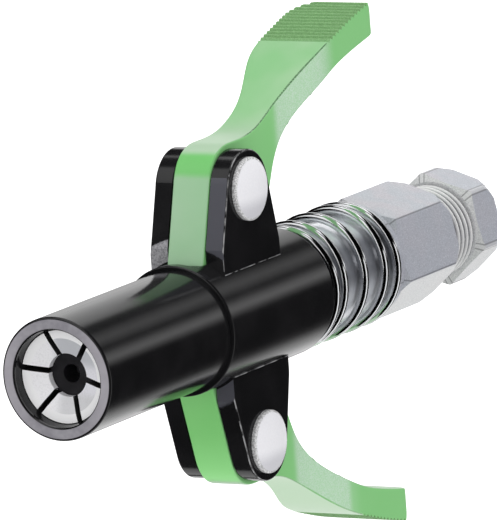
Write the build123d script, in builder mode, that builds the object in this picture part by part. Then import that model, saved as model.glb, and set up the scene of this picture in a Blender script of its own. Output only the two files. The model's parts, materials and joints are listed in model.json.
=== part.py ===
"""Lever-release grease coupler: a sliding sleeve on a hexagonal body closes six jaws on a
grease fitting, and two hinged levers pull the sleeve back to let the jaws open.

Units are millimetres. The tool axis is Y: the nose points to -Y and the hose screws in at +Y.
X runs along the lever pivots and Z is up through the upper lever.
The origin is the centre of the inlet port's mouth, at the rear face of the inlet adapter.
"""

import os
from math import asin, atan2, cos, hypot, radians, sin, sqrt, tan

from build123d import *

os.makedirs("parts", exist_ok=True)

# Lengths along the tool axis, from the nose to the inlet
front_sleeve_length = 33.4
rear_sleeve_length = 29.1
spring_space = 21.0
hex_length = 18.4
neck_length = 7.7
adapter_hex_length = 6.6

# Clearances
running_clearance = 0.06
jaw_clearance = 0.10
heel_clearance = 0.15
lever_side_clearance = 0.20
foot_clearance = 0.12
stop_clearance = 0.3

# Sleeve
front_sleeve_radius = 9.0
rear_sleeve_radius = 9.65
nose_lip_radius = 7.10
nose_lip_chamfer = 0.28
nose_edge_round = 0.35
sleeve_edge_round = 0.25
spigot_length = 7.0
spigot_wall = 1.3
slot_setback = 1.4
slot_end_clearance = 0.5
sleeve_travel = 4.0

# Ears that carry the levers, two above and two below
ear_thickness = 2.95
ear_length = 15.9
ear_shoulder_height = 11.15
ear_top_radius = 5.8
ear_setback = 4.5
ear_edge_round = 0.35

# Lever pivots
pivot_from_ear_front = 8.3
pivot_height = 18.7
pivot_radius = 2.5
rivet_head_radius = 4.64
rivet_rim_height = 0.55
rivet_dome_height = 0.85

# Levers
lever_thickness = 6.06
lever_front_reach = 5.6
lever_front_top = 2.0
lever_front_lean = 0.30
lever_crown_height = 6.6
handle_length = 40.4
handle_rise = 15.8
handle_width = 11.8
handle_flare_start = 11.8
handle_flare_end = 26.0
handle_corner_round = 2.0
handle_tip_thickness = 4.7
handle_tip_slant = 1.8
handle_tip_bulge = 0.25
foot_radius = 1.5
foot_ahead_of_pivot = -2.2
foot_depth = 12.0
heel_height = 3.4
lever_corner = 0.8
lever_floor_clearance = 0.4
rib_count = 13
rib_pitch = 1.0
rib_start = 0.6
rib_groove = 0.5
rib_lean = 20.0

# Body
barrel_radius = 7.8
stem_radius = 6.5
groove_root_radius = 4.9
groove_length = 6.0
spring_seat_radius = 9.0
spring_seat_length = 1.2
hex_across_flats = 16.5
hex_turn = 11.9
hex_corner_round = 0.6
hex_front_face_share = 0.96
hex_rear_face_share = 1.04
hex_front_chamfer = 1.7
hex_rear_chamfer = 2.2
passage_radius = 1.5
barrel_chamfer = 0.4
barrel_setback = 7.4

# Jaws
jaw_count = 6
jaw_setback = 1.8
jaw_front_radius = 6.75
jaw_taper = 12.0
jaw_cone_length = 6.2
jaw_rim_width = 1.22
jaw_rim_depth = 0.3
jaw_slot_width = 0.85
jaw_slot_turn = -10.5
grip_radius = 3.15
grip_depth = 1.25
grip_length = 1.0
cavity_radius = 3.65
jaw_tail_wall = 1.4
jaw_length = 16.15
heel_length = 1.8
heel_hook = 0.65

# Nose seal and its carrier
seal_gap = 0.2
seal_length = 3.6
seal_hole_radius = 1.35
carrier_head_length = 1.6
carrier_tail_radius = 1.9
carrier_tail_length = 9.0
carrier_passage_radius = 0.9
stem_head_length = 2.4
seal_travel = 0.8
seal_wire_diameter = 0.55
seal_spring_turns = 3.0

# Inlet adapter and check valve
adapter_across_flats = 15.3
adapter_front_chamfer = 0.7
adapter_rear_chamfer = 2.2
adapter_shank_radius = 6.6
adapter_shank_grip = 9.2
port_radius = 4.3
port_depth = 11.0
washer_thickness = 0.8
seat_radius = 4.6
seat_length = 4.0
seat_hole_radius = 1.3
seat_cone_radius = 1.9
ball_radius = 2.0
ball_seat_gap = 0.05
valve_chamber_radius = 2.5
valve_chamber_length = 9.5
check_wire_diameter = 0.4
check_spring_turns = 7.0
check_spring_share = 0.7

# Sleeve spring
spring_wire_diameter = 1.4
spring_gap = 0.35
spring_front_turns = 1.46
spring_front_pitch = 1.62
spring_active_turns = 2.78
spring_rear_turns = 0.82
spring_rear_pitch = 0.57
spring_end_gap = 0.05
spring_start_angle = -35.0

# Stations along the tool axis
total_length = (
    front_sleeve_length
    + rear_sleeve_length
    + spring_space
    + hex_length
    + neck_length
    + adapter_hex_length
)
nose_y = -total_length
seam_y = nose_y + front_sleeve_length
sleeve_end_y = seam_y + rear_sleeve_length
hex_front_y = sleeve_end_y + spring_space
hex_rear_y = hex_front_y + hex_length
adapter_front_y = hex_rear_y + neck_length
inlet_y = adapter_front_y + adapter_hex_length

jaw_front_y = nose_y + jaw_setback
grip_front_y = jaw_front_y + grip_depth
grip_rear_y = grip_front_y + grip_length
jaw_cone_end_y = jaw_front_y + jaw_cone_length
jaw_rear_y = jaw_front_y + jaw_length
heel_front_y = jaw_rear_y - heel_length
stem_groove_front_y = heel_front_y - heel_clearance
stem_groove_rear_y = jaw_rear_y + heel_clearance
stem_front_y = stem_groove_front_y - stem_head_length

seal_front_y = grip_rear_y + seal_gap
carrier_front_y = seal_front_y + seal_length
carrier_shoulder_y = carrier_front_y + carrier_head_length
carrier_rear_y = carrier_shoulder_y + carrier_tail_length
carrier_bore_end_y = carrier_rear_y + seal_travel + running_clearance

ear_front_y = seam_y + ear_setback
ear_rear_y = ear_front_y + ear_length
pivot_y = ear_front_y + pivot_from_ear_front
foot_y = pivot_y - foot_ahead_of_pivot
groove_front_y = foot_y - foot_radius - foot_clearance
groove_rear_y = groove_front_y + groove_length

shank_front_y = hex_rear_y - adapter_shank_grip
washer_front_y = shank_front_y - washer_thickness
seat_front_y = shank_front_y - seat_length
chamber_front_y = seat_front_y - valve_chamber_length

# Radii that follow from what fits inside what
spigot_bore_radius = stem_radius + running_clearance
spigot_radius = spigot_bore_radius + spigot_wall
barrel_bore_radius = barrel_radius + running_clearance
lever_half = lever_thickness / 2
ear_inner_x = lever_half + lever_side_clearance
ear_outer_x = ear_inner_x + ear_thickness
jaw_taper_slope = tan(radians(jaw_taper))
jaw_cone_end_radius = jaw_front_radius - jaw_cone_length * jaw_taper_slope
jaw_tail_radius = cavity_radius + jaw_tail_wall
heel_inner_radius = cavity_radius - heel_hook
stem_head_radius = cavity_radius - heel_clearance
stem_groove_radius = heel_inner_radius - heel_clearance
seal_radius = cavity_radius - heel_clearance
throat_radius = jaw_cone_end_radius + jaw_clearance
carrier_head_radius = cavity_radius - heel_clearance
carrier_bore_radius = carrier_tail_radius + running_clearance
spring_radius = barrel_radius + spring_gap + spring_wire_diameter / 2
ball_y = seat_front_y + seat_cone_radius - sqrt(2) * ball_radius
barrel_front_y = seam_y + barrel_setback
bore_step_y = barrel_front_y - sleeve_travel - stop_clearance
foot_height = pivot_height - foot_depth


def across(y):
    """Plane across the tool axis at y, seen from the nose: its own x is X and its own y is Z."""
    return Plane(origin=(0, y, 0), x_dir=(1, 0, 0), z_dir=(0, -1, 0))


def finish(piece, name):
    """Name a finished piece and write it to its own file."""
    piece.part.label = name
    export_step(piece.part, f"parts/{name}.step")


def hex_envelope(front_y, length, across_flats, front_chamfer, rear_chamfer):
    """Half section of a hexagonal bar whose corners are turned down at both ends."""
    corner = across_flats / sqrt(3)
    rear_y = front_y + length
    Polyline(
        (front_y, 0),
        (front_y, across_flats / 2 * hex_front_face_share),
        (front_y + front_chamfer, corner),
        (rear_y - rear_chamfer, corner),
        (rear_y, across_flats / 2 * hex_rear_face_share),
        (rear_y, 0),
        close=True,
    )


# Front sleeve: a tube whose mouth narrows to the cone that holds the jaws shut
lip_end_y = jaw_front_y - (nose_lip_radius - jaw_front_radius - jaw_clearance) / jaw_taper_slope
throat_end_y = jaw_cone_end_y + stop_clearance
counterbore_y = seam_y - spigot_length
with BuildPart() as front_sleeve:
    with BuildSketch(Plane.YZ):
        with BuildLine():
            Polyline(
                (nose_y + nose_lip_chamfer, nose_lip_radius),
                (nose_y, nose_lip_radius + nose_lip_chamfer),
                (nose_y, front_sleeve_radius),
                (seam_y, front_sleeve_radius),
                (seam_y, spigot_radius),
                (counterbore_y, spigot_radius),
                (counterbore_y, spigot_bore_radius),
                (throat_end_y + spigot_bore_radius - throat_radius, spigot_bore_radius),
                (throat_end_y, throat_radius),
                (jaw_cone_end_y, throat_radius),
                (lip_end_y, nose_lip_radius),
                close=True,
            )
        make_face()
    revolve(axis=Axis.Y)
    nose_rim = front_sleeve.edges().filter_by(GeomType.CIRCLE).group_by(Axis.Y)[0].sort_by(SortBy.RADIUS)[-1]
    fillet(nose_rim, nose_edge_round)
finish(front_sleeve, "front_sleeve")

# Rear sleeve: slides on the barrel and carries four ears in two pairs
ear_corner_front = (ear_front_y, ear_shoulder_height)
ear_corner_rear = (ear_rear_y, ear_shoulder_height)


def tangent_point(corner, side):
    """Where a straight line from corner touches the ear's round top, on the front (-1) or rear (1)."""
    dy = corner[0] - pivot_y
    dz = corner[1] - pivot_height
    reach = hypot(dy, dz)
    angle = atan2(dz, dy) + side * asin(sqrt(reach**2 - ear_top_radius**2) / reach)
    return (pivot_y + ear_top_radius * cos(angle), pivot_height + ear_top_radius * sin(angle))


slot_front_y = seam_y + slot_setback
slot_rear_y = foot_y + foot_radius + slot_end_clearance
with BuildPart() as rear_sleeve:
    with BuildSketch(Plane.YZ):
        with BuildLine():
            Polyline(
                (counterbore_y, 0),
                (counterbore_y, spigot_radius),
                (seam_y, spigot_radius),
                (seam_y, rear_sleeve_radius),
                (sleeve_end_y, rear_sleeve_radius),
                (sleeve_end_y, 0),
                close=True,
            )
        make_face()
    revolve(axis=Axis.Y)
    rims = rear_sleeve.edges().filter_by(GeomType.CIRCLE).filter_by(lambda e: e.radius > spigot_radius)
    fillet(rims, sleeve_edge_round)
    front_touch = tangent_point(ear_corner_front, -1)
    rear_touch = tangent_point(ear_corner_rear, 1)
    with BuildSketch(Plane.YZ.offset(ear_inner_x)):
        with BuildLine():
            Line((ear_front_y, 0), ear_corner_front)
            Line(ear_corner_front, front_touch)
            ThreePointArc(front_touch, (pivot_y, pivot_height + ear_top_radius), rear_touch)
            Line(rear_touch, ear_corner_rear)
            Line(ear_corner_rear, (ear_rear_y, 0))
            Line((ear_rear_y, 0), (ear_front_y, 0))
        make_face()
    extrude(amount=ear_thickness)
    ear_face = rear_sleeve.faces().sort_by(Axis.X)[-1]
    fillet(ear_face.edges().filter_by(lambda e: e.center().Z > rear_sleeve_radius), ear_edge_round)
    mirror(about=Plane.YZ)
    mirror(about=Plane.XY)
    with BuildSketch(Plane.YZ):
        with BuildLine():
            Polyline(
                (counterbore_y, 0),
                (counterbore_y, spigot_bore_radius),
                (bore_step_y, spigot_bore_radius),
                (bore_step_y, barrel_bore_radius),
                (sleeve_end_y, barrel_bore_radius),
                (sleeve_end_y, 0),
                close=True,
            )
        make_face()
    revolve(axis=Axis.Y, mode=Mode.SUBTRACT)
    slot_middle = (0, (slot_front_y + slot_rear_y) / 2, 0)
    with Locations(slot_middle):
        Box(2 * ear_inner_x, slot_rear_y - slot_front_y, 2 * pivot_height, mode=Mode.SUBTRACT)
    with BuildSketch(Plane.YZ):
        with Locations((pivot_y, pivot_height), (pivot_y, -pivot_height)):
            Circle(pivot_radius)
    extrude(amount=2 * ear_outer_x, both=True, mode=Mode.SUBTRACT)
finish(rear_sleeve, "rear_sleeve")

# Rivets: a pin through both ears with a domed head set down on each outer face
rivet_rim_x = ear_outer_x + rivet_rim_height
rivet_top_x = rivet_rim_x + rivet_dome_height
dome_radius = (rivet_head_radius**2 + rivet_dome_height**2) / (2 * rivet_dome_height)
dome_half_angle = asin(rivet_head_radius / dome_radius) / 2
for name, side in (("upper_rivet", 1), ("lower_rivet", -1)):
    with BuildPart() as rivet:
        with BuildSketch(Plane.XY.offset(side * pivot_height)):
            with BuildLine():
                Polyline(
                    (0, pivot_y),
                    (0, pivot_y + pivot_radius),
                    (ear_outer_x, pivot_y + pivot_radius),
                    (ear_outer_x, pivot_y + rivet_head_radius),
                    (rivet_rim_x, pivot_y + rivet_head_radius),
                )
                ThreePointArc(
                    (rivet_rim_x, pivot_y + rivet_head_radius),
                    (
                        rivet_top_x - dome_radius * (1 - cos(dome_half_angle)),
                        pivot_y + dome_radius * sin(dome_half_angle),
                    ),
                    (rivet_top_x, pivot_y),
                )
                Line((rivet_top_x, pivot_y), (0, pivot_y))
            make_face()
        revolve(axis=Axis((0, pivot_y, side * pivot_height), (1, 0, 0)))
        mirror(about=Plane.YZ)
    finish(rivet, name)


def from_pivot(dy, dz):
    """A point of the upper lever's side view, given from its pivot."""
    return (pivot_y + dy, pivot_height + dz)


# Upper lever: a foot in the barrel's groove, a heel between the ears and a flared, ribbed handle
lever_floor = barrel_radius + lever_floor_clearance
front_top = from_pivot(-lever_front_reach, lever_front_top)
front_corner_y = front_top[0] - lever_front_lean * (front_top[1] - lever_floor)
front_low = (front_corner_y + lever_front_lean * lever_corner, lever_floor + lever_corner)
crown = from_pivot(1.0, lever_crown_height)
tip_outer = from_pivot(handle_length - handle_tip_slant, handle_rise + handle_tip_thickness)
tip_middle = from_pivot(
    handle_length - handle_tip_slant / 2 + handle_tip_bulge, handle_rise + handle_tip_thickness / 2
)
tip_inner = from_pivot(handle_length, handle_rise)
foot_rear = (foot_y + foot_radius, foot_height)
heel_rear = (foot_rear[0], foot_height + heel_height)
with BuildPart() as upper_lever:
    with BuildSketch(Plane.YZ):
        with BuildLine():
            Line(front_low, front_top)
            Spline(front_top, from_pivot(-3.0, 5.6), crown, tangents=[(lever_front_lean, 1), (1, 0)])
            outer = Spline(
                crown,
                from_pivot(8.0, 7.15),
                from_pivot(12.4, 8.95),
                from_pivot(16.5, 11.5),
                from_pivot(20.5, 14.2),
                from_pivot(25.0, 16.4),
                from_pivot(30.0, 18.1),
                tip_outer,
                tangents=[(1, 0), (1, 0.25)],
            )
            ThreePointArc(tip_outer, tip_middle, tip_inner)
            Spline(
                tip_inner,
                from_pivot(32.0, 14.0),
                from_pivot(27.0, 12.5),
                from_pivot(22.5, 10.4),
                from_pivot(18.5, 7.8),
                from_pivot(15.3, 4.8),
                from_pivot(12.8, 0.9),
                from_pivot(8.4, -5.2),
                heel_rear,
                tangents=[(-1, -0.2), (0, -1)],
            )
            Line(heel_rear, foot_rear)
            ThreePointArc(foot_rear, (foot_y, foot_height - foot_radius), (foot_y - foot_radius, foot_height))
            Polyline(
                (foot_y - foot_radius, foot_height),
                (foot_y - foot_radius, lever_floor),
                (front_corner_y + lever_corner, lever_floor),
                front_low,
            )
        make_face()
        for index in range(rib_count):
            distance = outer.length - rib_start - index * rib_pitch
            spot = outer.position_at(distance, position_mode=PositionMode.LENGTH)
            with Locations((spot.X, spot.Y)):
                Rectangle(rib_groove, rib_groove, rotation=45 + rib_lean, mode=Mode.SUBTRACT)
    extrude(amount=handle_width / 2, both=True)
    with BuildSketch(Plane.XY):
        with BuildLine():
            flare_start = (lever_half, pivot_y + handle_flare_start)
            flare_end = (handle_width / 2, pivot_y + handle_flare_end)
            handle_end_y = pivot_y + handle_length
            Polyline((0, nose_y), (lever_half, nose_y), flare_start)
            Spline(flare_start, flare_end, tangents=[(0, 1), (0, 1)])
            corner_start = (handle_width / 2, handle_end_y - handle_corner_round)
            corner_end = (handle_width / 2 - handle_corner_round, handle_end_y)
            Line(flare_end, corner_start)
            ThreePointArc(
                corner_start,
                (
                    handle_width / 2 - handle_corner_round * (1 - cos(radians(45))),
                    handle_end_y - handle_corner_round * (1 - sin(radians(45))),
                ),
                corner_end,
            )
            Polyline(corner_end, (0, handle_end_y), (0, nose_y))
        make_face()
        mirror(about=Plane.YZ)
    extrude(amount=2 * (pivot_height + handle_rise), mode=Mode.INTERSECT)
    with BuildSketch(Plane.YZ):
        with Locations(from_pivot(0, 0)):
            Circle(pivot_radius + running_clearance)
    extrude(amount=handle_width, both=True, mode=Mode.SUBTRACT)
finish(upper_lever, "upper_lever")

# Lower lever: the same lever on the other side
with BuildPart() as lower_lever:
    mirror(upper_lever.part, about=Plane.XY)
finish(lower_lever, "lower_lever")

# Jaws: six segments of one turned collet, hooked at the heel and flared at the mouth
rim_radius = jaw_front_radius - jaw_rim_width
wedge_reach = 2 * front_sleeve_radius
half_angle = 180 / jaw_count
wedge_apex = jaw_slot_width / 2 / sin(radians(half_angle))
for index in range(jaw_count):
    jaw_angle = jaw_slot_turn + half_angle + index * 360 / jaw_count
    with BuildPart() as jaw:
        with BuildSketch(Plane.YZ):
            with BuildLine():
                Polyline(
                    (jaw_front_y, jaw_front_radius),
                    (jaw_cone_end_y, jaw_cone_end_radius),
                    (jaw_cone_end_y + jaw_cone_end_radius - jaw_tail_radius, jaw_tail_radius),
                    (jaw_rear_y, jaw_tail_radius),
                    (jaw_rear_y, heel_inner_radius),
                    (heel_front_y, heel_inner_radius),
                    (heel_front_y, cavity_radius),
                    (grip_rear_y, cavity_radius),
                    (grip_rear_y, grip_radius),
                    (grip_front_y, grip_radius),
                    (jaw_front_y + jaw_rim_depth, rim_radius),
                    close=True,
                )
            make_face()
        revolve(axis=Axis.Y)
        with BuildSketch(across(jaw_front_y)):
            with BuildLine():
                left = radians(jaw_angle - half_angle)
                right = radians(jaw_angle + half_angle)
                middle = radians(jaw_angle)
                apex = (wedge_apex * cos(middle), wedge_apex * sin(middle))
                Polyline(
                    apex,
                    (apex[0] + wedge_reach * cos(left), apex[1] + wedge_reach * sin(left)),
                    (apex[0] + wedge_reach * cos(right), apex[1] + wedge_reach * sin(right)),
                    close=True,
                )
            make_face()
        extrude(amount=-jaw_length, mode=Mode.INTERSECT)
    finish(jaw, f"jaw_{index + 1}")

# Nose seal: a rubber plug with a hole, held behind the jaws' lips
with BuildPart() as nose_seal:
    with BuildSketch(across(seal_front_y)):
        Circle(seal_radius)
        Circle(seal_hole_radius, mode=Mode.SUBTRACT)
    extrude(amount=-seal_length)
finish(nose_seal, "nose_seal")

# Seal carrier: a tube with a head, which slides in the stem and backs the seal
with BuildPart() as seal_carrier:
    with BuildSketch(Plane.YZ):
        with BuildLine():
            Polyline(
                (carrier_front_y, carrier_passage_radius),
                (carrier_front_y, carrier_head_radius),
                (carrier_shoulder_y, carrier_head_radius),
                (carrier_shoulder_y, carrier_tail_radius),
                (carrier_rear_y, carrier_tail_radius),
                (carrier_rear_y, carrier_passage_radius),
                close=True,
            )
        make_face()
    revolve(axis=Axis.Y)
finish(seal_carrier, "seal_carrier")

# Main body: stem with the jaws' groove, barrel with the levers' groove, spring seat and hexagon
hex_start_y = hex_front_y + spring_seat_length
with BuildPart() as main_body:
    with BuildSketch(across(hex_start_y)):
        corners = RegularPolygon(hex_across_flats / 2, 6, major_radius=False, rotation=hex_turn + 30)
        fillet(corners.vertices(), hex_corner_round)
    extrude(amount=-(hex_length - spring_seat_length))
    with BuildSketch(Plane.YZ):
        with BuildLine():
            hex_envelope(
                hex_start_y,
                hex_length - spring_seat_length,
                hex_across_flats,
                hex_front_chamfer,
                hex_rear_chamfer,
            )
        make_face()
    revolve(axis=Axis.Y, mode=Mode.INTERSECT)
    with BuildSketch(Plane.YZ):
        with BuildLine():
            Polyline(
                (stem_front_y, 0),
                (stem_front_y, stem_head_radius),
                (stem_groove_front_y, stem_head_radius),
                (stem_groove_front_y, stem_groove_radius),
                (stem_groove_rear_y, stem_groove_radius),
                (stem_groove_rear_y, jaw_tail_radius),
                (stem_groove_rear_y + stem_radius - jaw_tail_radius, stem_radius),
                (barrel_front_y, stem_radius),
                (barrel_front_y, barrel_radius - barrel_chamfer),
                (barrel_front_y + barrel_chamfer, barrel_radius),
                (groove_front_y, barrel_radius),
                (groove_front_y, groove_root_radius),
                (groove_rear_y, groove_root_radius),
                (groove_rear_y, barrel_radius),
                (hex_front_y, barrel_radius),
                (hex_front_y, spring_seat_radius),
                (hex_start_y, spring_seat_radius),
                (hex_start_y, 0),
                close=True,
            )
        make_face()
    revolve(axis=Axis.Y)
    with BuildSketch(Plane.YZ):
        with BuildLine():
            Polyline(
                (stem_front_y, 0),
                (stem_front_y, carrier_bore_radius),
                (carrier_bore_end_y, carrier_bore_radius),
                (carrier_bore_end_y, passage_radius),
                (chamber_front_y, passage_radius),
                (chamber_front_y, valve_chamber_radius),
                (seat_front_y, valve_chamber_radius),
                (seat_front_y, seat_radius),
                (washer_front_y, seat_radius),
                (washer_front_y, adapter_shank_radius),
                (hex_rear_y, adapter_shank_radius),
                (hex_rear_y, 0),
                close=True,
            )
        make_face()
    revolve(axis=Axis.Y, mode=Mode.SUBTRACT)
finish(main_body, "main_body")

# Inlet adapter: a hexagon head with the hose port, on a shank that screws into the body
with BuildPart() as inlet_adapter:
    with BuildSketch(across(adapter_front_y)):
        corners = RegularPolygon(adapter_across_flats / 2, 6, major_radius=False, rotation=hex_turn + 30)
        fillet(corners.vertices(), hex_corner_round)
    extrude(amount=-adapter_hex_length)
    with BuildSketch(Plane.YZ):
        with BuildLine():
            hex_envelope(
                adapter_front_y,
                adapter_hex_length,
                adapter_across_flats,
                adapter_front_chamfer,
                adapter_rear_chamfer,
            )
        make_face()
    revolve(axis=Axis.Y, mode=Mode.INTERSECT)
    with BuildSketch(across(shank_front_y)):
        Circle(adapter_shank_radius)
    extrude(amount=-(adapter_front_y - shank_front_y))
    with BuildSketch(Plane.YZ):
        with BuildLine():
            Polyline(
                (shank_front_y, 0),
                (shank_front_y, passage_radius),
                (inlet_y - port_depth - (port_radius - passage_radius), passage_radius),
                (inlet_y - port_depth, port_radius),
                (inlet_y, port_radius),
                (inlet_y, 0),
                close=True,
            )
        make_face()
    revolve(axis=Axis.Y, mode=Mode.SUBTRACT)
finish(inlet_adapter, "inlet_adapter")

# Sealing washer: clamped between the adapter's shank and the body
with BuildPart() as sealing_washer:
    with BuildSketch(across(washer_front_y)):
        Circle(adapter_shank_radius - heel_clearance)
        Circle(seat_radius + heel_clearance, mode=Mode.SUBTRACT)
    extrude(amount=-washer_thickness)
finish(sealing_washer, "sealing_washer")

# Valve seat: a plug with a coned hole that the check ball closes
with BuildPart() as valve_seat:
    with BuildSketch(Plane.YZ):
        with BuildLine():
            Polyline(
                (seat_front_y, seat_cone_radius),
                (seat_front_y, seat_radius),
                (shank_front_y, seat_radius),
                (shank_front_y, seat_hole_radius),
                (seat_front_y + seat_cone_radius - seat_hole_radius, seat_hole_radius),
                close=True,
            )
        make_face()
    revolve(axis=Axis.Y)
finish(valve_seat, "valve_seat")

# Check ball: just clear of its seat's cone
with BuildPart() as check_ball:
    with Locations((0, ball_y - ball_seat_gap, 0)):
        Sphere(ball_radius)
finish(check_ball, "check_ball")


def coil(radius, wire, start_y, start_angle, turns, pitch, left_hand=False):
    """One stretch of round wire wound round the tool axis, in the part being built."""
    path = Helix(
        pitch,
        pitch * turns,
        radius,
        center=(0, start_y, 0),
        direction=(0, 1, 0),
        lefthand=left_hand,
        mode=Mode.PRIVATE,
    ).rotate(Axis.Y, start_angle)
    start = path @ 0
    radial = Vector(start.X, 0, start.Z).normalized()
    with BuildSketch(Plane(origin=start, x_dir=radial, z_dir=Vector(0, 1, 0).cross(radial))) as section:
        Circle(wire / 2)
    sweep(section.sketch, path=path, is_frenet=True)


# Sleeve spring: wound left-handed, closed at the sleeve, open between and flat against the hexagon
front_rise = spring_front_turns * spring_front_pitch
rear_rise = spring_rear_turns * spring_rear_pitch
spring_first_y = sleeve_end_y + spring_wire_diameter / 2 + spring_end_gap
spring_last_y = hex_front_y - spring_wire_diameter / 2 - spring_end_gap
active_pitch = (spring_last_y - spring_first_y - front_rise - rear_rise) / spring_active_turns
with BuildPart() as sleeve_spring:
    stretches = (
        (spring_front_turns, spring_front_pitch),
        (spring_active_turns, active_pitch),
        (spring_rear_turns, spring_rear_pitch),
    )
    at_y = spring_first_y
    at_angle = spring_start_angle
    for turns, pitch in stretches:
        coil(spring_radius, spring_wire_diameter, at_y, at_angle, turns, pitch, left_hand=True)
        at_y += turns * pitch
        at_angle -= 360 * turns
finish(sleeve_spring, "sleeve_spring")

# Seal spring: round the carrier's tail, between its head and the stem
seal_spring_radius = (carrier_tail_radius + cavity_radius) / 2
seal_spring_room = stem_front_y - carrier_shoulder_y - seal_wire_diameter - 2 * spring_end_gap
with BuildPart() as seal_spring:
    coil(
        seal_spring_radius,
        seal_wire_diameter,
        carrier_shoulder_y + seal_wire_diameter / 2 + spring_end_gap,
        0,
        seal_spring_turns,
        seal_spring_room / seal_spring_turns,
    )
finish(seal_spring, "seal_spring")

# Check spring: from the chamber's front wall to the ball
check_spring_radius = ball_radius * check_spring_share
check_contact = sqrt((ball_radius + check_wire_diameter / 2 + spring_end_gap) ** 2 - check_spring_radius**2)
check_first_y = chamber_front_y + check_wire_diameter / 2 + spring_end_gap
check_last_y = ball_y - ball_seat_gap - check_contact
with BuildPart() as check_spring:
    coil(
        check_spring_radius + check_wire_diameter / 2,
        check_wire_diameter,
        check_first_y,
        0,
        check_spring_turns,
        (check_last_y - check_first_y) / check_spring_turns,
    )
finish(check_spring, "check_spring")
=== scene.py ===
"""The looks of a lever-release grease coupler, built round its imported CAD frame.

Every place is in the frame of the CAD model: the tool axis is Y, the nose points to -Y, X runs along
the lever rivets and Z is up through the upper lever. The camera and the studio are in metres. The
pieces and their finishes are in millimetres, and a piece is brought to metres as it is finished.
"""

import json
import math

import bmesh
import bpy
from mathutils import Matrix, Vector


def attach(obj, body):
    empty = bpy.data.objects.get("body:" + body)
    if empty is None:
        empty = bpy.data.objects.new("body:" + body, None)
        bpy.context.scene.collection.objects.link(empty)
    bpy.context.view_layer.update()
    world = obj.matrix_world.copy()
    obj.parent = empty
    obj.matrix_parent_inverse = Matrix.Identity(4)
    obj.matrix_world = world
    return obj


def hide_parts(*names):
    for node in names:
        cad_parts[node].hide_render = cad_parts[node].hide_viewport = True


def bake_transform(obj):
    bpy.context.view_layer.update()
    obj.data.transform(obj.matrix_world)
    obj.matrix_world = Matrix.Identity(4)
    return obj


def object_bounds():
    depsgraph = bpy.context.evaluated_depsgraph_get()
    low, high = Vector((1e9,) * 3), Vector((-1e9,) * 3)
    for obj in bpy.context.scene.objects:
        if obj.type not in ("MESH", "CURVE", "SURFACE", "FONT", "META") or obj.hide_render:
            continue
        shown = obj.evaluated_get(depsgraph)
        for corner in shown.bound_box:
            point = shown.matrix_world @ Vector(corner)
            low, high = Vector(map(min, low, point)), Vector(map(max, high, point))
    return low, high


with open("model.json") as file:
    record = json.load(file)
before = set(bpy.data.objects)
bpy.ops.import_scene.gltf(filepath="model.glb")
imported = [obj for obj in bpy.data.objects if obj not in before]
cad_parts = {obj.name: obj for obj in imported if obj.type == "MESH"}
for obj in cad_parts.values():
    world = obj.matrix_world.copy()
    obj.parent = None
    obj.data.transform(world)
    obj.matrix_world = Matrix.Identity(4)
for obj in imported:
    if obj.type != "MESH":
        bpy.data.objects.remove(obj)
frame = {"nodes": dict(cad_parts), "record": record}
cad_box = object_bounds()

MM = 0.001
scene = bpy.context.scene
scene.view_settings.view_transform = "Standard"


# Shader maths: sockets that can be added, multiplied and compared in plain expressions


class Value:
    """A socket of a material's nodes, which takes part in arithmetic."""

    def __init__(self, shader, socket):
        self.shader = shader
        self.socket = socket

    def math(self, operation, *others):
        return self.shader.math(operation, self, *others)

    def __add__(self, other):
        return self.math("ADD", other)

    def __radd__(self, other):
        return self.math("ADD", other)

    def __sub__(self, other):
        return self.math("SUBTRACT", other)

    def __rsub__(self, other):
        return self.shader.math("SUBTRACT", other, self)

    def __mul__(self, other):
        return self.math("MULTIPLY", other)

    def __rmul__(self, other):
        return self.math("MULTIPLY", other)

    def __truediv__(self, other):
        return self.math("DIVIDE", other)

    def __rtruediv__(self, other):
        return self.shader.math("DIVIDE", other, self)

    def __pow__(self, other):
        return self.math("POWER", other)

    def __rpow__(self, other):
        return self.shader.math("POWER", other, self)

    def over(self, edge):
        return self.math("GREATER_THAN", edge)

    def under(self, edge):
        return self.math("LESS_THAN", edge)

    def least(self, other):
        return self.math("MINIMUM", other)

    def most(self, other):
        return self.math("MAXIMUM", other)

    def absolute(self):
        return self.math("ABSOLUTE")

    def sine(self):
        return self.math("SINE")

    def arctan2(self, other):
        return self.math("ARCTAN2", other)

    def fade(self, low, high):
        """0 below low and 1 above high, smooth between. High may lie under low."""
        settings = {"interpolation_type": "SMOOTHSTEP"}
        sockets = {"Value": self, "From Min": low, "From Max": high}
        return self.shader.node("ShaderNodeMapRange", settings, sockets)[0]


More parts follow.
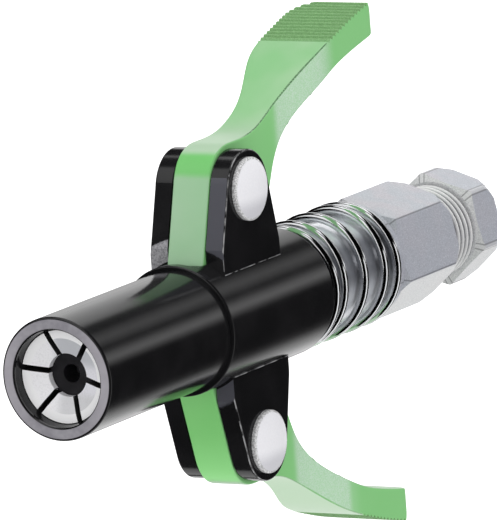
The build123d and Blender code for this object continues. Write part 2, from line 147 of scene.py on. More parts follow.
class Shader:
    """The nodes of a material or of the world, all of them added through one method."""

    def __init__(self, owner):
        owner.use_nodes = True
        self.owner = owner
        self.tree = owner.node_tree

    @classmethod
    def finish(cls, name, **surface):
        """A new material whose surface starts from these plain settings."""
        shader = cls(bpy.data.materials.new(name))
        for socket, value in surface.items():
            shader.set(socket.replace("_", " "), value)
        return shader

    def node(self, kind, settings=None, sockets=None):
        """Add a node, set it up, feed its sockets and return its outputs."""
        made = self.tree.nodes.new(kind)
        for name, value in (settings or {}).items():
            if name == "stops":
                ramp = made.color_ramp
                for index, (place, colour) in enumerate(value):
                    stop = ramp.elements[index] if index < 2 else ramp.elements.new(place)
                    stop.position = place
                    stop.color = (*colour, 1.0)
            else:
                setattr(made, name, value)
        for name, value in (sockets or {}).items():
            self.feed(made.inputs[name], value)
        return [Value(self, socket) for socket in made.outputs]

    def feed(self, socket, value):
        if isinstance(value, Value):
            self.tree.links.new(value.socket, socket)
        elif isinstance(value, (tuple, list)) and socket.type == "RGBA":
            socket.default_value = (*value[:3], 1.0)
        else:
            socket.default_value = value

    def set(self, name, value):
        self.feed(self.tree.nodes["Principled BSDF"].inputs[name], value)

    def math(self, operation, *terms):
        return self.node("ShaderNodeMath", {"operation": operation}, dict(enumerate(terms)))[0]

    def parts(self, vector):
        return self.node("ShaderNodeSeparateXYZ", None, {0: vector})

    def point(self):
        """The point in the frame, in metres."""
        return self.node("ShaderNodeTexCoord")[3]

    def place(self, unit=1.0):
        """The point's X, Y and Z in the frame, counted in unit."""
        return [part * (1.0 / unit) for part in self.parts(self.point())]

    def facing(self):
        """The X, Y and Z of the direction that the smooth surface faces, in the frame."""
        return self.parts(self.node("ShaderNodeTexCoord")[1])

    def scaled(self, point, stretch):
        return self.node("ShaderNodeVectorMath", {"operation": "MULTIPLY"}, {0: point, 1: stretch})[0]

    def noise(self, point, scale, detail=2.0, roughness=0.5):
        sockets = {"Vector": point, "Scale": scale, "Detail": detail, "Roughness": roughness}
        return self.node("ShaderNodeTexNoise", None, sockets)[0]

    def mix(self, share, first, second):
        """One colour turning into another as share goes from 0 to 1."""
        sockets = {0: share, 6: first, 7: second}
        return self.node("ShaderNodeMix", {"data_type": "RGBA"}, sockets)[2]

    def bump(self, height, distance, strength=1.0):
        sockets = {"Height": height, "Distance": distance, "Strength": strength}
        self.set("Normal", self.node("ShaderNodeBump", None, sockets)[0])


def from_axis(x, z):
    """The distance from the tool axis."""
    return (x * x + z * z) ** 0.5


# Camera


def photo_camera():
    """The photograph's view: its bearing, height, roll and distance, aimed at the middle of the tool."""
    azimuth = math.radians(31.08)
    elevation = math.radians(10.53)
    roll = math.radians(-4.42)
    distance = 1.422
    target = Vector((0.0, -0.078305, 0.0))
    aside = 0.008104
    above = 0.009465
    focal_length = 681.0

    back = Vector(
        (
            math.sin(azimuth) * math.cos(elevation),
            -math.cos(azimuth) * math.cos(elevation),
            math.sin(elevation),
        )
    )
    level = (-back).cross(Vector((0, 0, 1))).normalized()
    upright = level.cross(-back)
    right = math.cos(roll) * level + math.sin(roll) * upright
    up = math.cos(roll) * upright - math.sin(roll) * level

    data = bpy.data.cameras.new("photo_camera")
    data.lens = focal_length
    data.sensor_width = 36.0
    data.clip_start = 0.05
    data.clip_end = 50.0
    camera = bpy.data.objects.new("photo_camera", data)
    scene.collection.objects.link(camera)
    camera.matrix_world = Matrix((right, up, back)).transposed().to_4x4()
    camera.location = target + aside * right + above * up + distance * back
    scene.camera = camera


photo_camera()


# Studio

room_light = 0.95
floor_glow = 0.6
floor_drop = 1.0
floor_reach = 6.0
wall_distance = 0.6
front_card_distance = -1.0
room_radius = 0.97
wall_light = 1.3
tool_middle = (0.0, -0.07, 0.0)
softbox_place = (-0.1, 0.1, 0.8)
softbox_width = 0.6
softbox_power = 1.5


def seen_directly(shader):
    """1 for the rays that the camera, gloss and glass send, 0 for the light's own."""
    light_path = shader.node("ShaderNodeLightPath")
    camera_ray, glossy_ray, transmission_ray = light_path[0], light_path[3], light_path[6]
    return (camera_ray + glossy_ray + transmission_ray).least(1.0)


def studio_world():
    """White where the camera, gloss or glass looks, and a plain level of light elsewhere."""
    world = bpy.data.worlds.new("studio")
    scene.world = world
    shader = Shader(world)
    strength = seen_directly(shader) * (1.0 - room_light) + room_light
    background = world.node_tree.nodes["Background"]
    shader.feed(background.inputs["Color"], (1.0, 1.0, 1.0))
    shader.feed(background.inputs["Strength"], strength)


def soft_light(name, place, aim, width, power):
    """A square soft box at place, turned towards aim."""
    data = bpy.data.lights.new(name, "AREA")
    data.shape = "SQUARE"
    data.size = width
    data.energy = power
    light = bpy.data.objects.new(name, data)
    scene.collection.objects.link(light)
    light.location = place
    light.rotation_mode = "QUATERNION"
    light.rotation_quaternion = (Vector(aim) - Vector(place)).to_track_quat("-Z", "Y")
    light.visible_camera = False


def pale_floor():
    """A pale floor, well below the tool. It shows white, keeps shadows and can't be seen from below."""
    shader = Shader.finish("pale_floor", Base_Color=(0.9, 0.9, 0.9), Roughness=0.8)
    glow = seen_directly(shader) * floor_glow
    shader.set("Emission Color", shader.mix(glow, (0.0, 0.0, 0.0), (1.0, 1.0, 1.0)))
    shader.set("Emission Strength", 1.0)
    below = shader.node("ShaderNodeNewGeometry")[6]
    clear = shader.node("ShaderNodeBsdfTransparent")[0]
    lit = Value(shader, shader.tree.nodes["Principled BSDF"].outputs[0])
    both = shader.node("ShaderNodeMixShader", None, {0: below, 1: lit, 2: clear})[0]
    shader.feed(shader.tree.nodes["Material Output"].inputs["Surface"], both)

    bm = bmesh.new()
    bmesh.ops.create_grid(bm, x_segments=1, y_segments=1, size=floor_reach)
    bmesh.ops.translate(bm, verts=bm.verts, vec=(0, 0, -floor_drop))
    set_up("floor", bm, shader)


def set_up(name, bm, shader):
    """Stand a finished bmesh in the studio, as something that isn't part of the tool."""
    mesh = bpy.data.meshes.new(name)
    bm.to_mesh(mesh)
    bm.free()
    stand = bpy.data.objects.new(name, mesh)
    scene.collection.objects.link(stand)
    mesh.materials.append(shader.owner)
    return stand


def only_gloss_sees(card):
    """Hide a card from everything but the tool's gloss."""
    card.visible_camera = False
    card.visible_diffuse = False
    card.visible_transmission = False
    card.visible_shadow = False


def gloss_wall():
    """A round card behind the tool, shaded from black to white round its middle, for gloss to reflect.

    It is black to the right with two soft grey strips, white to the left and grey underneath.
    """
    shades = (
        (-180, 0.60), (-150, 0.66), (-141, 0.84), (-128, 1.30), (-112, 1.25), (-100, 1.0), (-91, 0.86),
        (-81, 0.42), (-71, 0.07), (-60, 0.0), (4, 0.0), (12, 0.55), (19, 1.25), (27, 0.85), (34, 0.30),
        (41, 0.06), (50, 0.40), (59, 0.62), (68, 0.38), (78, 0.06), (92, 0.07), (100, 0.92), (110, 1.08),
        (130, 1.20), (150, 1.30), (180, 0.70),
    )
    shader = Shader.finish("wall_card", Base_Color=(0.0, 0.0, 0.0), Roughness=1.0, Specular_IOR_Level=0.0)
    x, _, z = shader.place()
    turn = z.arctan2(x) * (0.5 / math.pi) + 0.5
    stops = [((degrees + 180) / 360, (shade / wall_light,) * 3) for degrees, shade in shades]
    ring = shader.node("ShaderNodeValToRGB", {"stops": stops}, {0: turn})[0]
    outer = z.over(0.0) * from_axis(x, z).fade(0.5, 0.65)
    shader.set("Emission Color", shader.mix(outer, ring, (0.0, 0.0, 0.0)))
    shader.set("Emission Strength", wall_light)
    bm = bmesh.new()
    bmesh.ops.create_circle(bm, cap_ends=True, segments=48, radius=room_radius)
    bmesh.ops.rotate(bm, verts=bm.verts, matrix=Matrix.Rotation(math.radians(90), 3, "X"))
    bmesh.ops.translate(bm, verts=bm.verts, vec=(0, wall_distance, 0))
    only_gloss_sees(set_up("wall_card", bm, shader))


def gloss_room():
    """Black walls round the tool and a card on the camera's side with one window, for gloss to reflect."""
    shader = Shader.finish("room_card", Base_Color=(0.0, 0.0, 0.0), Roughness=1.0, Specular_IOR_Level=0.0)
    x, y, z = shader.place()
    low_strip = y.under(front_card_distance + 0.01) * x.over(-0.22) * z.over(0.03)
    high_window = y.fade(-0.34, -0.42) * z.fade(0.42, 0.5)
    window = low_strip.most(high_window) * x.fade(0.30, 0.22)
    side_strip = y.fade(-0.16, -0.10) * y.fade(0.44, 0.38) * z.fade(0.42, 0.32) * x.over(-0.8)
    shader.set("Emission Color", shader.mix(window.most(side_strip), (0.0, 0.0, 0.0), (1.0, 1.0, 1.0)))
    shader.set("Emission Strength", 1.0)
    bm = bmesh.new()
    rim = bmesh.ops.create_circle(bm, cap_ends=False, segments=48, radius=room_radius)["verts"]
    bmesh.ops.rotate(bm, verts=rim, matrix=Matrix.Rotation(math.radians(90), 3, "X"))
    bmesh.ops.translate(bm, verts=rim, vec=(0, wall_distance, 0))
    wall = bmesh.ops.extrude_edge_only(bm, edges=bm.edges[:])["geom"]
    front_rim = [item for item in wall if isinstance(item, bmesh.types.BMVert)]
    bmesh.ops.translate(bm, verts=front_rim, vec=(0, front_card_distance - wall_distance, 0))
    bmesh.ops.contextual_create(bm, geom=[edge for edge in bm.edges if set(edge.verts) <= set(front_rim)])
    only_gloss_sees(set_up("room_card", bm, shader))


studio_world()
pale_floor()
soft_light("top_softbox", softbox_place, tool_middle, softbox_width, softbox_power)
gloss_wall()
gloss_room()

# Sizes of the CAD model, in millimetres

joints = {joint["name"]: joint for joint in frame["record"]["behaviour"]["joints"]}
_, pivot_y, pivot_z = (place / MM for place in joints["upper_lever_hinge"]["pos_m"])
nose_y = cad_box[0][1] / MM
ear_base = 9.7
ear_outer_x = 6.18
rivet_radius = 4.64
rivet_pin_radius = 2.5
rivet_rim_x = 6.73
rivet_top_x = 7.58
pad_start = 26.5
pad_floor = 14.9
pad_slope = 0.25
lever_tip_y = -29.6
handle_half = 5.9
cad_corner_round = 2.0
hex_front_y = -32.7
hex_turn = 11.9
adapter_front_y = -6.6
neck_root = 6.45

# Sizes that only the pieces made here have, in millimetres

ear_edge_x = 6.06
rivet_edge_round = 0.22
lever_edge_round = 0.32
worn_corner_start = -35.8
worn_corner_length = 4.6
worn_corner_depth = 4.0
worn_corner_cuts = (0.0, 0.9, 1.7, 2.4, 3.0, 3.5, 3.9, 4.2, 4.4, 4.55, 4.6)
neck_crest = 7.0
flats_radius = 7.3
spring_rear_closed = 0.5

# Angles, in degrees, and numbers of steps

smooth_angle = 40.0
long_edge_angle = 50.0
facet_angle = 0.35
turn_steps = 48
wire_sides = 16


def make_piece(name, bm, shader, body, replaced=(), blend=None, weighted=False):
    """Make a bmesh that is drawn in millimetres a finished piece, in its slot and on its body; a piece given
    a blend is left unattached where it stands.
    """
    bmesh.ops.scale(bm, vec=(MM, MM, MM), verts=bm.verts)
    bmesh.ops.remove_doubles(bm, verts=bm.verts, dist=1e-7)
    bmesh.ops.recalc_face_normals(bm, faces=bm.faces)
    for face in bm.faces:
        face.smooth = True
    for edge in bm.edges:
        edge.smooth = edge.is_manifold and edge.calc_face_angle(0.0) < math.radians(smooth_angle)
    mesh = bpy.data.meshes.new(name)
    bm.to_mesh(mesh)
    bm.free()
    piece = bpy.data.objects.new(name, mesh)
    scene.collection.objects.link(piece)
    mesh.materials.append(shader.owner)
    if weighted:
        modifier = piece.modifiers.new("even_normals", "WEIGHTED_NORMAL")
        modifier.keep_sharp = True
    if blend:
        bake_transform(piece)
    else:
        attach(piece, body)
    if replaced:
        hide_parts(*replaced)


def spin(bm, geom, axis, angle, steps, centre=(0, 0, 0), rise=0.0, closed=False):
    """Sweep geom round an axis, rising along it, and return what the sweep ends in."""
    along = Vector(axis) * (rise / steps)
    return bmesh.ops.spin(
        bm, geom=geom, cent=centre, axis=axis, dvec=along, angle=angle, steps=steps, use_merge=closed
    )["geom_last"]


def wire_coil(bm, radius, wire, first_y, first_angle, stretches, hand):
    """Round wire wound round the tool axis in stretches of (turns, pitch), with closed ends.

    Hand is 1 for a right-handed winding and -1 for a left-handed one.
    """
    section = bmesh.ops.create_circle(bm, segments=wire_sides, radius=wire / 2, cap_ends=False)["verts"]
    spot = Matrix.Rotation(math.radians(-first_angle), 4, "Y") @ Matrix.Translation((radius, 0, 0))
    bmesh.ops.transform(bm, matrix=spot, verts=section)
    bmesh.ops.translate(bm, vec=(0, first_y, 0), verts=section)
    ring = [*section, *{edge for vert in section for edge in vert.link_edges}]
    first_ring = [item for item in ring if isinstance(item, bmesh.types.BMEdge)]
    for turns, pitch in stretches:
        steps = round(turns * turn_steps)
        ring = spin(bm, ring, (0, 1, 0), hand * math.tau * turns, steps, rise=turns * pitch)
    last_ring = [item for item in ring if isinstance(item, bmesh.types.BMEdge)]
    bmesh.ops.contextual_create(bm, geom=first_ring)
    bmesh.ops.contextual_create(bm, geom=last_ring)


def thread(bm, root, crest, half_width, first_y, pitch, turns):
    """A helical ridge round the tool axis, from its root out or in to its crest."""
    flank = ((root, -half_width), (crest, -half_width / 4), (crest, half_width / 4), (root, half_width))
    corners = [bm.verts.new((reach, first_y + aside, 0)) for reach, aside in flank]
    edges = [bm.edges.new(pair) for pair in zip(corners, corners[1:] + corners[:1])]
    steps = round(turns * turn_steps)
    last = spin(bm, corners + edges, (0, 1, 0), math.tau * turns, steps, rise=turns * pitch)
    bmesh.ops.contextual_create(bm, geom=edges)
    bmesh.ops.contextual_create(bm, geom=[item for item in last if isinstance(item, bmesh.types.BMEdge)])


# Finishes: lengths in millimetres, and noise on the point in metres


def sleeve_black():
    """Gloss black oxide, ground grey on the nose's front face, with painted highlights on the ears' rounded
    edges and along their feet, and painted reflections as grey patches on the ears' front faces.
    """
    s = Shader.finish("gloss_black", IOR=1.5)
    x, y, z = s.place(MM)
    point = s.point()
    out = from_axis(x, z)
    cloud = s.noise(point, 180.0, detail=3.0)
    scuff = s.noise(s.scaled(point, (1.0, 0.12, 1.0)), 2600.0, detail=2.0)
    face = (y - nose_y).fade(0.12, 0.03) * out.fade(8.7, 8.6)
    lathe = s.noise(point, 900.0, detail=2.0)
    black = s.mix(cloud.fade(0.35, 0.75), (0.0078, 0.0078, 0.0086), (0.0115, 0.0112, 0.0123))
    lathed = s.mix(lathe.fade(0.3, 0.8), (0.25, 0.24, 0.27), (0.33, 0.32, 0.35))
    # The nose's front face is ground grey, partly its own finish and partly painted reflection; its paleness
    # towards the sides is painted reflection.
    ground = s.mix(x.absolute().fade(3.0, 8.0) * 0.6, lathed, (0.43, 0.41, 0.45))
    # Painted highlight: a thin bright line on the ears' rounded outer edges, broken up by noise.
    rounding = 1.0 - (x.absolute() - ear_edge_x).absolute().fade(0.03, 0.09)
    highlight_gaps = s.noise(point, 700.0, detail=3.0).fade(0.36, 0.62)
    edge = rounding * out.over(ear_base + 0.4) * highlight_gaps
    facing = s.facing()
    # Painted reflection: grey patches on the ears' front faces, high on the right ear and low on the left
    # one.
    ear_front = facing[1].under(-0.9) * out.over(ear_base + 0.2) * y.over(pivot_y - 15.0)
    speck = s.noise(point, 3800.0, detail=3.0, roughness=0.75)
    ragged = out + speck * 0.6
    upper = z.over(0.0)
    reflection_reach = ragged.fade(11.6, 11.9) * upper + ragged.fade(13.1, 12.4) * (1.0 - upper)
    ear_reflection = ear_front * x.over(0.0) * reflection_reach
    foot_reflection = ear_front * upper * x.under(0.0) * ragged.fade(13.3, 13.1) * (0.45 + speck.fade(0.35, 0.6) * 0.55)
    # Painted highlight: a thin bright line where the ears' sides meet the sleeve.
    ear_side = facing[0].absolute().over(0.9) * x.absolute().under(6.4) * out.over(ear_base)
    foot_highlight = ear_side * out.fade(ear_base + 0.13, ear_base + 0.07) * highlight_gaps
    bright = (edge + foot_highlight).least(1.0)
    worn = s.mix(bright * 0.9, s.mix(face, black, ground), (0.42, 0.42, 0.43))
    ear_reflected = s.mix(ear_reflection, worn, (0.078, 0.079, 0.098))
    s.set("Base Color", s.mix(foot_reflection, ear_reflected, (0.40, 0.395, 0.42)))
    s.set("Roughness", 0.11 + scuff * 0.06 + cloud * 0.04 + face * 0.25 + edge * 0.15 + (ear_reflection + foot_reflection) * 0.3)
    s.bump(scuff * 0.4 + cloud, 0.00001, 0.25)
    return s


def lever_green():
    """Green powder coat, dark and speckled on the ribs and hammer-marked at the waist. Its colour holds
    painted light: pale painted highlights on the front near the pivot, on the top, on the lower lever's
    downward face, along the sides and over the hammer marks, a deeper green painted shade where the upper
    front rounds over, and the lower lever's front painted paler as it rises.
    """
    s = Shader.finish("green_coat", IOR=1.5)
    x, y, z = s.place(MM)
    point = s.point()
    back = y - pivot_y
    rise = z.absolute() - pivot_z
    speck = s.noise(point, 5200.0, detail=3.0, roughness=0.7)
    peel = s.noise(point, 2300.0, detail=2.0)
    cloud = s.noise(point, 95.0, detail=2.0)
    coat = s.mix(cloud.fade(0.35, 0.7), (0.255, 0.585, 0.245), (0.35, 0.62, 0.33))
    upper = z.over(0.0)
    lower = 1.0 - upper

    facing = s.facing()
    side = x.absolute().fade(2.7, 3.0)
    flank = facing[0].absolute().fade(0.75, 0.92) * side
    front = facing[1].fade(-0.35, -0.7)
    away = facing[2].absolute()

    # Painted highlight: the upper lever's front paler near the pivot.
    front_highlight = s.mix(front * upper * rise.fade(3.4, 2.0) * 0.5, coat, (0.44, 0.65, 0.46))
    # Painted shade: a deeper green strip where the upper front rounds over, in place of a highlight.
    shade_band = upper * (1.0 - flank) * rise.fade(2.2, 3.4) * back.fade(-2.2, -3.6)
    band_shaded = s.mix(shade_band * 0.85, front_highlight, (0.165, 0.60, 0.145))
    # Painted light: the lower lever's front, paler as it rises.
    low_front_light = s.mix(rise.fade(-3.0, 5.0), (0.215, 0.69, 0.18), (0.31, 0.85, 0.27))
    low_lit = s.mix(front * lower * 0.85, band_shaded, low_front_light)
    # Painted highlights: a paler top, and a paler downward face on the lower lever.
    crown_highlight = away.fade(0.7, 0.85) * back.fade(-3.6, -2.2) * back.fade(13.0, 4.0) * rise.over(4.0)
    crown_lit = s.mix(crown_highlight * 0.8, low_lit, (0.50, 0.655, 0.49))
    under = lower * away.fade(0.6, 0.8) * rise.over(4.0) * back.fade(6.0, 9.0)
    underside_lit = s.mix(under * 0.95, crown_lit, (0.64, 0.85, 0.62))

    there = back + lower * 1.4
    waist = there.fade(13.4, 15.0) * there.fade(28.3 - lower * 3.0, 23.0 + lower)
    # Painted light on the sides: their own green, a paler painted highlight along the middle and a whitish
    # painted highlight over the hammer marks, whose bump and roughness are real.
    side_lit = s.mix(flank * 0.9, underside_lit, (0.25, 0.65, 0.23))
    side_highlight = flank * there.fade(12.5, 15.0) * there.fade(28.0, 24.0)
    side_highlit = s.mix(side_highlight * 0.9, side_lit, (0.33, 0.67, 0.32))
    hammer_marks_and_highlight = flank * waist * (0.4 + speck.fade(0.42, 0.6) * 0.5)
    hammer_highlit = s.mix(hammer_marks_and_highlight, side_highlit, (0.61, 0.79, 0.64))
    outer = (x - (back - 14.0).most(0.0) * 0.24).over(2.6)
    strip = facing[0].fade(0.3, 0.45) * facing[0].fade(0.9, 0.75) * away.over(0.2) * outer
    seam = strip * back.fade(4.0, 7.0) * back.fade(28.0, 26.5)
    ragged_seam = seam * speck.fade(0.38, 0.5) * (0.3 + upper * 0.5)
    patched = s.mix(ragged_seam, hammer_highlit, (0.035, 0.10, 0.04))

    pad = back.fade(pad_start - 0.2, pad_start + 0.5) * (rise - back * pad_slope).fade(8.0, 8.6)
    top = pad * (1.0 - flank)
    grit = speck.fade(0.35, 0.7)
    padded = s.mix(top, patched, s.mix(grit, (0.15, 0.335, 0.115), (0.26, 0.52, 0.21)))
    s.set("Base Color", padded)
    s.set("Roughness", 0.36 + cloud * 0.1 + top * 0.2 - hammer_marks_and_highlight * 0.12)
    s.bump(peel * 0.5 + speck * (0.15 + hammer_marks_and_highlight * 0.9 + top * 0.8), 0.00006, 0.35)
    return s


def rivet_metal():
    """Pale satin metal, domed smooth, with a rough grey rim where the head was set."""
    s = Shader.finish("rivet_metal", IOR=1.5, Metallic=0.05)
    _, y, z = s.place(MM)
    point = s.point()
    out = from_axis(y - pivot_y, z.absolute() - pivot_z)
    rim = out.fade(4.15, 4.45)
    speck = s.noise(point, 4200.0, detail=3.0, roughness=0.75)
    fine = s.noise(point, 9000.0, detail=2.0)
    facing = s.facing()
    shade = facing[2].fade(-0.05, -0.24) * 0.45
    dome = s.mix(speck.fade(0.3, 0.75), (0.90, 0.895, 0.935), (0.96, 0.955, 0.99))
    rough = s.mix(speck.fade(0.4, 0.6), (0.38, 0.38, 0.385), (0.86, 0.86, 0.87))
    s.set("Base Color", s.mix(rim, s.mix(shade, dome, (0.42, 0.42, 0.47)), rough))
    s.set("Roughness", 0.4 + fine * 0.12 + rim * 0.1)
    s.bump(speck * (0.15 + rim) + fine * 0.2, 0.00008, 0.4)
    return s


def zinc_plate(name, grain, on_adapter):
    """Bright zinc over milled flats: fine grain, a faint violet bloom and dark lines along the corners.
    Painted light on it: flats bluer and darker where they face sideways and paler where they face down or
    forward, a painted highlight along the adapter's corners, painted shade and highlights on the neck thread,
    and painted reflection bands on the barrel.
    """
    s = Shader.finish(name, IOR=1.5)
    x, y, z = s.place(MM)
    point = s.point()
    out = from_axis(x, z)
    across = ((z.arctan2(x) - math.radians(hex_turn + 30.0)) * 3.0).sine()
    speck = s.noise(point, 5200.0, detail=3.0, roughness=0.7)
    drawn = s.noise(s.scaled(point, (1.0, 0.06, 1.0)), 3200.0, detail=2.0)
    bloom = s.noise(point, 210.0, detail=2.0)
    flat = out.over(flats_radius)
    barrel = y.under(hex_front_y - 0.1) * out.over(6.0)
    # Painted highlight: a pale strip along the adapter's corners.
    corner = flat * across.absolute().fade(0.2, 0.12) * on_adapter
    crease = (across.absolute() - 0.16 * on_adapter).absolute().fade(0.055, 0.02) * flat
    plate = s.mix(bloom.fade(0.38, 0.64), (0.56, 0.585, 0.64), (0.62, 0.60, 0.65))
    facing = s.facing()
    # Painted light: the flats painted bluer and darker where they face sideways, and paler where they face
    # down or forward.
    side_shaded = s.mix(facing[0].fade(0.6, 0.9) * 0.7, plate, (0.46, 0.48, 0.555))
    down_or_front = facing[2].fade(-0.5, -0.8).most(facing[1].fade(-0.7, -0.9))
    front_and_below_lit = s.mix(down_or_front * 0.8, side_shaded, (0.86, 0.865, 0.855))
    pitted = s.mix(speck.fade(0.56, 0.42) * 0.35, front_and_below_lit, (0.34, 0.345, 0.37))
    grainy = s.mix(speck.fade(0.5, 0.72) * grain, pitted, (0.88, 0.88, 0.89))
    neck = on_adapter * y.under(adapter_front_y)
    # Painted shade between the neck thread's turns, and painted highlights on its crests.
    groove_shade = neck * out.fade(neck_root + 0.4, neck_root + 0.1) * out.over(neck_root - 0.45)
    corner_highlit = s.mix(corner * 0.5, grainy, (0.80, 0.80, 0.81))
    # Painted reflection: the barrel dark, with pale bands at its top and underneath.
    reflection_bands = z.fade(1.0, -3.0) + z.fade(4.5, 6.5)
    turned = s.mix(barrel, corner_highlit, s.mix(reflection_bands, (0.30, 0.31, 0.345), (0.90, 0.92, 0.97)))
    crest = neck * out.fade(neck_crest - 0.25, neck_crest - 0.05) * out.under(neck_crest + 0.2)
    thread_shaded = s.mix(crest, s.mix(groove_shade * 0.9, turned, (0.07, 0.07, 0.08)), (0.95, 0.95, 0.95))
    s.set("Base Color", s.mix(crease * 0.55 * (1.0 - barrel), thread_shaded, (0.10, 0.10, 0.11)))
    s.set("Metallic", 0.28 + barrel * 0.27)
    s.set("Roughness", 0.34 + speck * 0.12 + bloom * 0.05 - barrel * 0.22)
    s.bump(speck * 0.6 + drawn * 0.4, 0.00004, 0.4 - barrel * 0.3)
    return s


def jaw_metal():
    """Turned jaw: a bright rim, a matt cone inside it and fine rings from the tool. The cone has painted
    light, darker towards the top and bottom and lighter to the left, and the slot walls are painted black as
    shade.
    """
    s = Shader.finish("jaw_metal", IOR=1.5)
    x, y, z = s.place(MM)
    point = s.point()
    out = from_axis(x, z)
    rim = out.fade(5.42, 5.58) * (y - nose_y).fade(3.0, 2.4)
    rings = (out * 42.0).sine() * 0.5 + 0.5
    speck = s.noise(point, 3800.0, detail=3.0, roughness=0.7)
    facing = s.facing()
    across = (facing[0] * z - facing[2] * x).absolute() / out
    # Painted shade: the slot walls black.
    slot_shade = across.fade(0.6, 0.8)
    # Painted light on the cone: darker towards the top, a little darker at the bottom and lighter to the
    # left.
    cone_upper_shade = s.mix(z.fade(0.5, 2.5), (0.88, 0.875, 0.93), (0.60, 0.615, 0.65))
    cone_lower_shade = s.mix(z.fade(-2.0, -3.5), cone_upper_shade, (0.74, 0.74, 0.76))
    cone_left_light = s.mix(x.fade(-0.5, -2.5), cone_lower_shade, (0.98, 0.975, 1.0))
    cone = s.mix(speck.fade(0.55, 0.35) * 0.2, cone_left_light, (0.55, 0.555, 0.57))
    bright = s.mix(rim, cone, (0.98, 0.98, 0.99))
    s.set("Base Color", s.mix(slot_shade, bright, (0.03, 0.03, 0.03)))
    s.set("Metallic", 0.08 - rim * 0.06)
    s.set("Roughness", 0.46 - rim * 0.2 + speck * 0.08)
    s.bump(rings * 0.5 + speck * 0.5, 0.00002, 0.25)
    return s


def seal_rubber():
    """Black rubber, matt, with a faint moulded grain."""
    s = Shader.finish("seal_rubber", IOR=1.5)
    point = s.point()
    grain = s.noise(point, 4200.0, detail=3.0)
    cloud = s.noise(point, 420.0, detail=2.0)
    s.set("Base Color", s.mix(cloud.fade(0.3, 0.7), (0.010, 0.009, 0.012), (0.019, 0.017, 0.022)))
    s.set("Roughness", 0.5 + grain * 0.2)
    s.bump(grain, 0.00003, 0.3)
    return s


def bright_steel(name, colour, roughness, streak):
    """Bright drawn or polished steel, with fine streaks round the tool axis."""
    s = Shader.finish(name, Metallic=1.0)
    point = s.point()
    drawn = s.noise(s.scaled(point, (1.0, 6.0, 1.0)), 900.0, detail=3.0)
    cloud = s.noise(point, 300.0, detail=2.0)
    dull = tuple(level * 0.82 for level in colour)
    s.set("Base Color", s.mix(drawn.fade(0.3, 0.7) * streak, colour, dull))
    s.set("Roughness", roughness + cloud * 0.05 + drawn * streak * 0.08)
    s.bump(drawn, 0.00001, streak * 0.3)
    return s


black = sleeve_black()
green = lever_green()
rivet_finish = rivet_metal()
zinc = zinc_plate("zinc_body", 0.45, 0.0)
adapter_zinc = zinc_plate("zinc_adapter", 0.35, 1.0)
jaw_finish = jaw_metal()
rubber = seal_rubber()
spring_steel = bright_steel("spring_steel", (0.82, 0.83, 0.85), 0.09, 0.35)
ball_steel = bright_steel("ball_steel", (0.78, 0.78, 0.80), 0.06, 0.1)
carrier_steel = bright_steel("carrier_steel", (0.62, 0.63, 0.65), 0.25, 0.8)
washer_copper = bright_steel("washer_copper", (0.72, 0.42, 0.28), 0.3, 0.6)
slots = {
    "sleeve": black, "lever": green, "rivet": rivet_finish, "body": zinc, "adapter": adapter_zinc,
    "jaw": jaw_finish, "seal": rubber, "carrier": carrier_steel, "spring": spring_steel, "ball": ball_steel,
    "washer": washer_copper,
}
for row in frame["record"]["subparts"]:
    node = frame["nodes"][row["node"]]
    node.data.materials.clear()
    node.data.materials.append(slots[row["material_slot"]].owner)


# Levers: the CAD solid with its triangles merged and its long edges rounded as the coat rounds them


def long_edge(edge):
    """An edge between a lever's side and its rim, away from the ribs."""
    if len(edge.link_faces) != 2 or edge.calc_face_angle(0.0) < math.radians(long_edge_angle):
        return False
    sideways = sorted(abs(face.normal.x) for face in edge.link_faces)
    if sideways[0] > 0.5 or sideways[1] < 0.4:
        return False
    spot = (edge.verts[0].co + edge.verts[1].co) / 2
    back = spot.y - pivot_y
    rise = abs(spot.z) - pivot_z
    round_hole = math.hypot(back, rise) < rivet_pin_radius + 0.5
    on_pad = back > pad_start - 0.3 and rise > pad_floor + (back - pad_start) * pad_slope
    return not round_hole and not on_pad


def rounded_corner(start, length, depth, y):
    """The handle's half width where its corner is rounded, by depth over length, from start on."""
    share = min(max((y - start) / length, 0.0), 1.0)
    return handle_half - depth * (1.0 - math.sqrt(1.0 - share * share))


def round_tip(bm):
    """Give the tip of the handle the long round corner it has on its left side."""
    for cut in worn_corner_cuts:
        parts = bm.verts[:] + bm.edges[:] + bm.faces[:]
        spot = (0, worn_corner_start + cut, 0)
        bmesh.ops.bisect_plane(bm, geom=parts, dist=1e-4, plane_co=spot, plane_no=(0, 1, 0))
    for vert in bm.verts:
        if vert.co.x < 0.0 and vert.co.y > worn_corner_start:
            y = vert.co.y
            cad = rounded_corner(lever_tip_y - cad_corner_round, cad_corner_round, cad_corner_round, y)
            worn = rounded_corner(worn_corner_start, worn_corner_length, worn_corner_depth, y)
            vert.co.x *= worn / cad


def make_lever(name, node_name, worn_tip):
    """A lever's coat: a merged copy of its solid, with the long edges rounded."""
    bm = bmesh.new()
    bm.from_mesh(frame["nodes"][node_name].data)
    bmesh.ops.scale(bm, vec=(1 / MM, 1 / MM, 1 / MM), verts=bm.verts)
    bmesh.ops.remove_doubles(bm, verts=bm.verts, dist=1e-4)
    bmesh.ops.dissolve_limit(bm, angle_limit=math.radians(facet_angle), verts=bm.verts, edges=bm.edges)
    edges = [edge for edge in bm.edges if long_edge(edge)]
    bmesh.ops.bevel(
        bm, geom=edges, offset=lever_edge_round, offset_type="OFFSET", segments=3, profile=0.5,
        affect="EDGES", clamp_overlap=False, material=-1,
    )
    if worn_tip:
        round_tip(bm)
    make_piece(name, bm, green, node_name, replaced=[node_name], weighted=True)


make_lever("upper_lever_coat", "upper_lever", worn_tip=True)
make_lever("lower_lever_coat", "lower_lever", worn_tip=False)

# Rivets: a domed head with a rounded rim at both ends of a pin


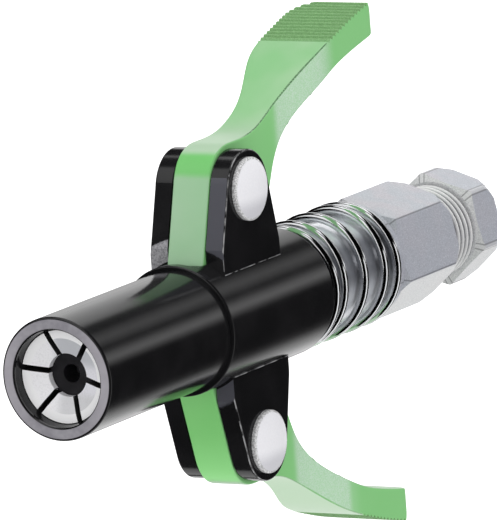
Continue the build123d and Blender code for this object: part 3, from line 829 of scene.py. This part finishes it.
def make_rivet(name, side):
    """A rivet above or below the tool axis: half its profile, spun round its pin and mirrored."""
    bm = bmesh.new()
    centre = Vector((0, pivot_y, side * pivot_z))
    rise = rivet_top_x - rivet_rim_x
    dome_radius = (rivet_radius**2 + rise**2) / (2 * rise)
    dome_angle = math.asin((rivet_radius - rivet_edge_round) / (dome_radius - rivet_edge_round))
    dome_centre = centre + Vector((rivet_top_x - dome_radius, 0, 0))
    last = bm.verts.new(centre + Vector((rivet_top_x, 0, 0)))
    (last,) = spin(bm, [last], (0, 0, 1), dome_angle, 10, centre=dome_centre)
    round_centre = dome_centre + (last.co - dome_centre) * (1 - rivet_edge_round / dome_radius)
    (last,) = spin(bm, [last], (0, 0, 1), math.radians(90) - dome_angle, 4, centre=round_centre)
    for along, out in ((ear_outer_x, rivet_radius), (ear_outer_x, rivet_pin_radius), (0.0, rivet_pin_radius)):
        following = bm.verts.new(centre + Vector((along, out, 0)))
        bm.edges.new((last, following))
        last = following
    spin(bm, bm.verts[:] + bm.edges[:], (1, 0, 0), math.tau, 72, centre=centre, closed=True)
    bmesh.ops.mirror(bm, geom=bm.verts[:] + bm.edges[:] + bm.faces[:], axis="X", merge_dist=1e-4)
    make_piece(f"{name}_set", bm, rivet_finish, "sleeve", replaced=[name])


make_rivet("upper_rivet", 1)
make_rivet("lower_rivet", -1)

# Springs: round wire, closed at both ends


def make_spring(name, bodies, wire, radius, first_y, first_angle, stretches, hand=1):
    """A spring between two bodies, in stretches of (turns, pitch), with closed end turns."""
    bm = bmesh.new()
    wire_coil(bm, radius, wire, first_y, first_angle, stretches, hand)
    give_from = first_y
    give_to = first_y + sum(turns * pitch for turns, pitch in stretches)
    if len(stretches) > 1:
        give_from += math.prod(stretches[0])
        give_to -= spring_rear_closed
    give = ((0, give_from * MM, 0), (0, give_to * MM, 0))
    make_piece(f"{name}_wire", bm, spring_steel, bodies, replaced=[name], blend=give)


sleeve_windings = ((1.46, 1.62), (2.78, 5.996), (0.82, 0.57))
make_spring(
    "sleeve_spring", ("sleeve", "body"), wire=1.4, radius=8.85, first_y=-52.95, first_angle=125.0,
    stretches=sleeve_windings, hand=-1,
)
make_spring(
    "seal_spring", ("seal", "body"), wire=0.55, radius=2.775, first_y=-106.375, first_angle=90.0,
    stretches=((3.0, 1.15),),
)
make_spring(
    "check_spring", ("body", "check_ball"), wire=0.4, radius=1.6, first_y=-36.7, first_angle=90.0,
    stretches=((7.0, 0.92),),
)

# Threads: the adapter's shank shows a few turns ahead of its hexagon, and the port has its own inside


def make_thread(name, **shape):
    bm = bmesh.new()
    thread(bm, **shape)
    make_piece(name, bm, adapter_zinc, "body")


make_thread(
    "neck_thread", root=neck_root, crest=neck_crest, half_width=0.5, first_y=-13.6, pitch=1.25, turns=5.2
)
make_thread("port_thread", root=4.45, crest=3.95, half_width=0.42, first_y=-9.6, pitch=0.94, turns=9.2)
